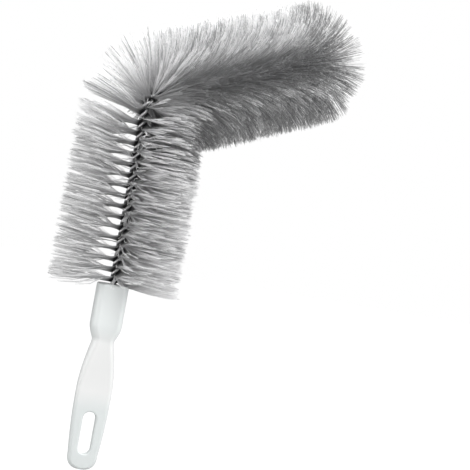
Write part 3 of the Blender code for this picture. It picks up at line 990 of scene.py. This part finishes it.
def painted_shade_and_dark_end(along, angle):
    """The most of three: a stripe of painted shade, 1 round the stripe's side; painted shade on the
    underside, with a stronger painted shadow at the crook of the bend; and a darkening of the far end, all
    round. Each is eased to 0 at its limits."""
    aside = turned_from(angle, SHADED_STRIPE_SIDE)
    past = along - BEND_END
    fade = np.where(aside > 0, STRIPE_LOWER_FADE, STRIPE_UPPER_FADE)
    stripe = 1 - ease((np.abs(aside) - STRIPE_HALF_WIDTH) / fade)
    stripe = stripe * step(past, *STRIPE_GROWS) * (1 - step(past, *STRIPE_FADES))
    below = between(CROOK_PAINTED_SHADOW, UNDERSIDE_PAINTED_SHADE, step(past, *CROOK_FADES)) * step(along, *UNDERSIDE_GROWS)
    below = below * step(aside, *UNDERSIDE_NEAR_SIDE) * (1 - step(aside, *UNDERSIDE_FAR_SIDE))
    end = END_DARKENING * step(past, *END_DARKENING_GROWS)
    return np.maximum(np.maximum(stripe, below), end)


print("mean dustiness:", round(float(painted_shade_and_dark_end(along, angle).mean()), 3))

# %% Greys
REAR_LEAST_SHADE = 0.2
FRONT_LEAST_SHADE = 0.12
MOST_LOCK_SHADE = 0.86
OWN_SHADE = 0.14
REAR_SHADE_POWER = 0.55
FRONT_SHADE_POWER = 1.4
FRONT_SHADE_GROWS = (BEND_END, BEND_END + 20 * MM)
FLAT_LOCK_PAINTED_SHADE = 0.78
PAINTED_DARK_GREY = 0.04
PAINTED_GLINT_SHARE = 0.09
PAINTED_GLINT_GREY = 0.8
PAINTED_GLINT_SIDE = math.radians(25)
STRAIGHT_GROWS = (BEND_START - 10 * MM, BEND_START + 20 * MM)


def strand_shades(along, angle, straight):
    """The lock's eased random grey to a power that makes dark locks rarer in the rear half, and a little
    of the strand's own. The flat lock gets painted shade, painted shade and the far end's darkening draw
    every grey towards one dark grey, and a few locks get a painted glint."""
    least = between(REAR_LEAST_SHADE, FRONT_LEAST_SHADE, straight)
    power = between(REAR_SHADE_POWER, FRONT_SHADE_POWER, step(along, *FRONT_SHADE_GROWS))
    shade = ease(locks["shade"][lock]) ** power
    shade = least + (MOST_LOCK_SHADE - least) * shade + OWN_SHADE * rng.random(len(lock))
    # Painted shade on the flat lock, then painted shade and the far end's darkening towards one dark grey.
    on_left = np.abs(turned_from(angle, LEFT_SIDE)) < FLAT_LOCK_SIDES[1]
    flat_lock = (along > FAN_PARTING) & (along < BEND_END) & on_left
    shade = between(shade * np.where(flat_lock, FLAT_LOCK_PAINTED_SHADE, 1), PAINTED_DARK_GREY, painted_shade_and_dark_end(along, angle))
    # Painted glint: a few locks under the front half are set to a light grey.
    painted_glint = (rng.random(lock_count) < PAINTED_GLINT_SHARE)[lock] & (along > BEND_START)
    return np.where(painted_glint & (turned_from(angle, SHADED_STRIPE_SIDE) > PAINTED_GLINT_SIDE), PAINTED_GLINT_GREY, shade)


straight = step(along, *STRAIGHT_GROWS)
shade = strand_shades(along, angle, straight)
coat = {
    "point": point, "tangent": tangent, "root_out": root_out, "direction": direction, "reach": reach,
    "spread": spread, "drop": drop, "squeeze": squeeze, "push": flat_lock_push(along, angle),
    "rise": left_rise(along) * left, "left": left, "straight": straight, "shade": shade,
}
print("mean shade:", round(float(shade.mean()), 3), "and numbers of a strand:", len(coat))

# %% [markdown]
# ## One strand
# A strand is a thin three-sided spike. It starts inside the twist, leaves between the two legs, and then
# follows its own direction. What was found above moves it along the stem, each number from its own
# distance out: the squeeze and the drop near the wire, and the spread, the push and the rise towards the
# tip. Waves are added, the largest on the left of the rear half. All strands of a piece are built
# together: paths times rings gives every point of thousands at once.

# %% Strand paths
STRAND_STOPS = np.array([0.012, 0.069, 0.13, 0.2, 0.32, 0.46, 0.62, 0.97, 1.0])
SPLAY_OPENS = (13 * MM, 32 * MM)
SPLAY_GROWTH = 0.3
STRAIGHT_ROOT_SHARE = 0.1
SQUEEZE_SHARE = 0.42
SQUEEZE_CLOSES = (PINCH_REACH, 9 * MM)
SQUEEZE_OPENS = (13 * MM, 30 * MM)
DROP = 2.4 * MM
DROP_GROWS = (PINCH_REACH, 9 * MM)
WAVE = 0.4 * MM
STRAIGHT_WAVE_SHARE = 0.2
RIGHT_WAVE_SHARE = 0.55
waves = rng.normal(0, WAVE, (lock_count, len(STRAND_STOPS), 2))[lock]
waves = waves + rng.normal(0, WAVE / 3, waves.shape)
print("largest wave, mm:", round(float(np.abs(waves).max()) / MM, 2))


def way_along_stem(get, distance, opened):
    """How far a strand lies along the stem from its root: spread times (opened + SPLAY_GROWTH share),
    less the drop, plus the squeeze, the push times share and the rise times share squared, where share
    is the share of the way out."""
    share = distance / BRUSH_RADIUS
    way = get["spread"] * (opened + SPLAY_GROWTH * share)
    way = way - get["drop"] * DROP * step(distance, *DROP_GROWS)
    squeezed = step(distance, *SQUEEZE_CLOSES) - step(distance, *SQUEEZE_OPENS)
    way = way + get["squeeze"] * SQUEEZE_SHARE * squeezed
    return way + get["push"] * np.clip(share - STRAIGHT_ROOT_SHARE, 0, 1) + get["rise"] * share ** 2


def strand_paths(chosen):
    """Centre + root direction up to the pinch, then the strand's own direction for the rest of its
    length, plus the way along the stem and waves on two sides. Gives (strands, stops, 3)."""
    get = {name: values[chosen][:, None] for name, values in coat.items()}
    distance = STRAND_STOPS[None] * get["reach"]
    inner = np.minimum(distance, PINCH_REACH)[..., None]
    outer = np.maximum(distance - PINCH_REACH, 0)[..., None]
    even = np.clip(distance / BRUSH_RADIUS - STRAIGHT_ROOT_SHARE, 0, 1)
    opened = between(step(distance, *SPLAY_OPENS), even, get["straight"])
    curl = between(between(RIGHT_WAVE_SHARE, 1, get["left"]), STRAIGHT_WAVE_SHARE, get["straight"])
    wave = waves[chosen] * (opened * curl)[..., None]
    way = way_along_stem(get, distance, opened) + wave[..., 0]
    side = unit(np.cross(get["direction"], get["tangent"]))
    path = get["point"] + get["root_out"] * inner + get["direction"] * outer
    return path + get["tangent"] * way[..., None] + side * wave[..., 1:]


# %% Strand mesh
STRAND_RADIUS = 0.13 * MM
STRAND_SIDES = 3
ROOT_FACE = [[2, 1, 0]]
MAP_MARGIN = np.array([0.01, 0.02])
MAP_WIDTH = 0.95
MAP_HEIGHT = 0.96
STRIP_STEP = 0.015


def strand_points(paths, tangent):
    """A ring of points round every stop but the last, in the plane square to the strand, and its tip."""
    along = unit(paths[:, -1] - paths[:, 0])
    side = unit(np.cross(along, tangent))
    other = np.cross(along, side)
    turn = np.arange(STRAND_SIDES) * 2 * np.pi / STRAND_SIDES
    ring = side[:, None] * np.cos(turn)[:, None] + other[:, None] * np.sin(turn)[:, None]
    rings = paths[:, :-1, None] + ring[:, None] * STRAND_RADIUS
    return np.concatenate([rings.reshape(len(paths), -1, 3), paths[:, -1:]], axis=1)


def strand_faces():
    """One strand's quads between its rings, and its triangles: three at the tip and one at the root."""
    level = np.arange(len(STRAND_STOPS) - 1)[:, None] * STRAND_SIDES
    here = np.arange(STRAND_SIDES)[None]
    after = (here + 1) % STRAND_SIDES
    low, high = level[:-1], level[1:]
    quads = np.stack([low + here, low + after, high + after, high + here], axis=-1).reshape(-1, 4)
    tip = np.full(STRAND_SIDES, len(level) * STRAND_SIDES)
    top = np.stack([level[-1] + here[0], level[-1] + after[0], tip], axis=-1)
    return quads, np.concatenate([top, ROOT_FACE])


def add_bake_map(mesh, shade, reach, per_strand):
    """A UV map with shade across and reach up, so that strands of one grey share one strip of it."""
    corner = np.append(np.tile(np.arange(STRAND_SIDES), len(STRAND_STOPS) - 1), 1)
    across = shade * MAP_WIDTH + np.tile(corner, len(shade) // per_strand) * STRIP_STEP
    places = MAP_MARGIN + np.stack([across, reach * MAP_HEIGHT], axis=-1)
    corners = np.empty(len(mesh.loops), np.int32)
    mesh.loops.foreach_get("vertex_index", corners)
    layer = mesh.uv_layers.new(name="OFBake", do_init=False)
    layer.uv.foreach_set("vector", places[corners].astype(np.float32).ravel())


def add_strands(name, chosen):
    """A piece from the strands at the chosen indexes, with `shade` and `reach` stored on its points."""
    points = strand_points(strand_paths(chosen), tangent[chosen])
    count, per_strand = points.shape[:2]
    first = (np.arange(count) * per_strand)[:, None, None]
    quads, triangles = (faces[None] + first for faces in strand_faces())
    mesh = mesh_from_arrays(name, points.reshape(-1, 3), quads.reshape(-1, 4), triangles.reshape(-1, 3))
    point_reach = np.tile(np.append(np.repeat(STRAND_STOPS[:-1], STRAND_SIDES), 1), count)
    point_shade = np.repeat(shade[chosen], per_strand)
    store_number(mesh, "reach", point_reach)
    # The stored shade carries each strand's painted shade and painted glint.
    store_number(mesh, "shade", point_shade)
    add_bake_map(mesh, point_shade, point_reach, per_strand)
    return piece_from_mesh(name, mesh, filament_nylon)


# %% [markdown]
# ## Pieces of the coat
# Strands on the two straight halves simply ride along with their half. The others lie in or beside the
# bend and change their directions when the stem is straightened. A start and an end for a blend over the
# bend are worked out for their pieces, where painted weights could serve too, but no blend is made and
# they ride with no half.

# %% Sort the strands
LEAST_INWARD = 0.12
inside = np.cos(angle)
on_bend = (along > BEND_START) & (along < BEND_END)
crowded = (inside > LEAST_INWARD) & (crowd_root < CROWD_REACH) & ~on_bend
on_rear = along <= BEND_START
on_front = along >= BEND_END


def vector_blend(piece, start_place, start_share, gradient):
    """Works out the start of a blend whose share would be start_share at a place and grow by gradient per
    metre, but makes no blend; it only bakes the piece's transform."""
    size = float(np.dot(gradient, gradient))
    start = start_place - gradient * (start_share / size)
    start + gradient / size
    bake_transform(piece)


def dress(node):
    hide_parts(node)


print("strands on the bend:", on_bend.sum(), "and crowded beside it:", crowded.sum())

# %% Straight halves
MOST_STRANDS = 5700


def add_straight(name, mask, body, node):
    """Cuts one half's strands into pieces that stay a fair size."""
    numbers = np.flatnonzero(mask)
    parts = math.ceil(len(numbers) / MOST_STRANDS)
    for index, chosen in enumerate(np.array_split(numbers, parts)):
        piece = add_strands(f"{name}_{index + 1}", chosen)
        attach(piece, body)
        dress(node)
    print(f"{name}: {len(numbers)} strands in {parts} pieces")


add_straight("rear_filaments", on_rear & ~crowded, "handle_half", "rear_bristles")
add_straight("front_filaments", on_front & ~crowded, "front_half", "front_bristles")

# %% [markdown]
# ## Crowded strands
# The strands that lean inside the bend have to stand up again when the stem is straightened. For them a
# blend is worked out that would keep their roots at their own half's share and let the other half's share
# grow towards the tip, the faster the nearer a strand is to the corner, but no blend is made. One gradient
# can't suit every strand, so they go in three bands, by how much they point inward.

# %% Crowded strands inside the bend
BAND_EDGES = (LEAST_INWARD, 0.45, 0.8, 1.01)


def crowd_gradient(across, away, inward):
    """The other half's share is 1/2 at the tip of a corner strand that points this much inward, 0 at
    every root and 0 for strands past the crowd."""
    reach = BRUSH_RADIUS * inward
    along_rate = 0.5 / (CROWD_REACH - CROWD_SLOPE * reach)
    across_rate = along_rate * CROWD_REACH / reach
    return across * across_rate - away * along_rate


def add_crowded(name, half, at, front, node):
    _, tangent, across = stem_frame(at)
    side = 1 if front else -1
    for index, (low, high) in enumerate(zip(BAND_EDGES, BAND_EDGES[1:])):
        band = crowded & half & (inside >= low) & (inside < high)
        piece = add_strands(f"{name}_{index + 1}", np.flatnonzero(band))
        inward = (inside[band].mean() + inside[band].max()) / 2
        gradient = crowd_gradient(across, tangent * side, float(inward))
        vector_blend(piece, bend_corner, int(front), gradient * -side)
        dress(node)
    print(f"{name}: {(crowded & half).sum()} strands in {len(BAND_EDGES) - 1} pieces")


add_crowded("rear_inner_filaments", on_rear, BEND_START, False, "rear_bristles")
add_crowded("front_inner_filaments", on_front, BEND_END, True, "front_bristles")

# %% [markdown]
# ## Strands on the bend
# Outside the bend the strands fan out, and the fan has to close when the stem is straightened. It is cut
# into thin slices, and for each slice a blend is worked out that would turn it by the share of the bend
# that the wire has at its root: a blend whose start and end lie 40 m apart has almost the same share
# everywhere. Inside the bend the share would change from the root's to 1/2 at the tip, where the two
# halves meet. No blend is made.

# %% Strands on the bend
BEND_SLICES = 8
FAR = 40.0


def share_at(turned):
    """The wire's own share at a place on the arc: how far along the bend's chord it lies."""
    return 0.5 + math.sin(turned) / (2 * math.sin(BEND_ANGLE / 2))


def add_bend_slices():
    middle = (BEND_START + BEND_END) / 2
    turned = (along - middle) / BEND_RADIUS
    edges = np.linspace(-BEND_ANGLE / 2, BEND_ANGLE / 2, BEND_SLICES + 1)
    _, chord, toward_inside = stem_frame(middle)
    for index, (low, high) in enumerate(zip(edges, edges[1:])):
        here = on_bend & (turned >= low) & (turned < high)
        share = share_at((low + high) / 2)
        root = stem_frame(middle + (low + high) / 2 * BEND_RADIUS)[0]
        outer = add_strands(f"bend_outer_filaments_{index + 1}", np.flatnonzero(here & (inside <= 0)))
        vector_blend(outer, root, share, chord / FAR)
        inner = add_strands(f"bend_inner_filaments_{index + 1}", np.flatnonzero(here & (inside > 0)))
        vector_blend(inner, root, share, toward_inside * ((0.5 - share) / BRUSH_RADIUS))
        dress("bend_bristles")
        dress("bend_bristles")
    print(f"bend: {on_bend.sum()} strands in {2 * BEND_SLICES} pieces")


add_bend_slices()

# %% [markdown]
# ## Floor, light and background
# The duster is held up in front of white, so the floor lies a little below the handle. White that the
# camera sees comes from the floor's and the world's own colour, and not from more light on the duster,
# which would wash out its pale handle. Metal has to reflect that white too.

# %% Floor and world
FLOOR_DROP = 40 * MM
FLOOR_SIDE = 6.0
FLOOR_GLOW = 1.2
FLOOR_GLOW_SHARE = 0.8
WORLD_LEVEL = 0.5


def add_floor():
    """A wide square, a mix of a dull surface and, for the camera only, a white glow."""
    half = FLOOR_SIDE / 2
    height = solid_box[0].z - FLOOR_DROP
    corners = ((-half, -half), (half, -half), (half, half), (-half, half))
    points = np.array([(x, y, height) for x, y in corners])
    mesh = mesh_from_arrays("floor", points, np.array([[0, 1, 2, 3]]))
    look = Look("floor_white", (0.4, 0.4, 0.4), 0.9)
    camera_ray = look.node("ShaderNodeLightPath", output="Is Camera Ray")
    glow = look.node("ShaderNodeEmission", None, {"Strength": FLOOR_GLOW})
    plain = Signal(look, look.shader.outputs[0])
    both = look.node("ShaderNodeMixShader", None, {0: camera_ray * FLOOR_GLOW_SHARE, 1: plain, 2: glow})
    look.feed(look.tree.nodes["Material Output"].inputs["Surface"], both)
    floor = piece_from_mesh("floor", mesh, look.material)


def set_world():
    """White to the camera and in reflections, and a plain soft level as light."""
    world = bpy.data.worlds.new("studio")
    bpy.context.scene.world = world
    world.use_nodes = True
    graph = Graph(world.node_tree)
    camera_ray = graph.node("ShaderNodeLightPath", output="Is Camera Ray")
    glossy_ray = graph.node("ShaderNodeLightPath", output="Is Glossy Ray")
    seen = graph.node("ShaderNodeMath", {"operation": "MAXIMUM"}, {0: camera_ray, 1: glossy_ray})
    background = graph.tree.nodes["Background"]
    graph.feed(background.inputs["Color"], (1, 1, 1, 1))
    graph.feed(background.inputs["Strength"], WORLD_LEVEL + seen * (1 - WORLD_LEVEL))


add_floor()
set_world()
print("floor, mm below the handle:", round(FLOOR_DROP / MM))

# %% [markdown]
# ## Lamps
# The duster is lit softly, so that its shadows stay pale. A key panel stands high in front, a little to
# the left. A panel above and behind lights the upper locks, and one on the right and a weak one on the
# left fill the sides. One bare sun would be simpler, but it would draw hard black gaps between locks.

# %% Lamps
duster_middle = (solid_box[0] + solid_box[1]) / 2


def add_panel(name, offset, size, power):
    """A round panel at an offset from the duster's middle, in metres, that faces the middle."""
    data = bpy.data.lights.new(name, "AREA")
    data.shape = "DISK"
    data.size = size
    data.energy = power
    lamp = bpy.data.objects.new(name, data)
    bpy.context.scene.collection.objects.link(lamp)
    lamp.location = duster_middle + Vector(offset)
    lamp.rotation_euler = (duster_middle - lamp.location).to_track_quat("-Z", "Y").to_euler()
    print(f"{name}: {power} W")


add_panel("key_panel", (-0.3, -0.9, 1.2), 0.7, 12)
add_panel("top_panel", (0.4, 0.4, 1.5), 0.9, 34)
add_panel("right_panel", (1.3, -0.7, 0.5), 0.8, 14)
add_panel("left_panel", (-1.4, -0.2, 0.0), 0.6, 5.5)
bpy.context.scene.view_settings.view_transform = "Standard"
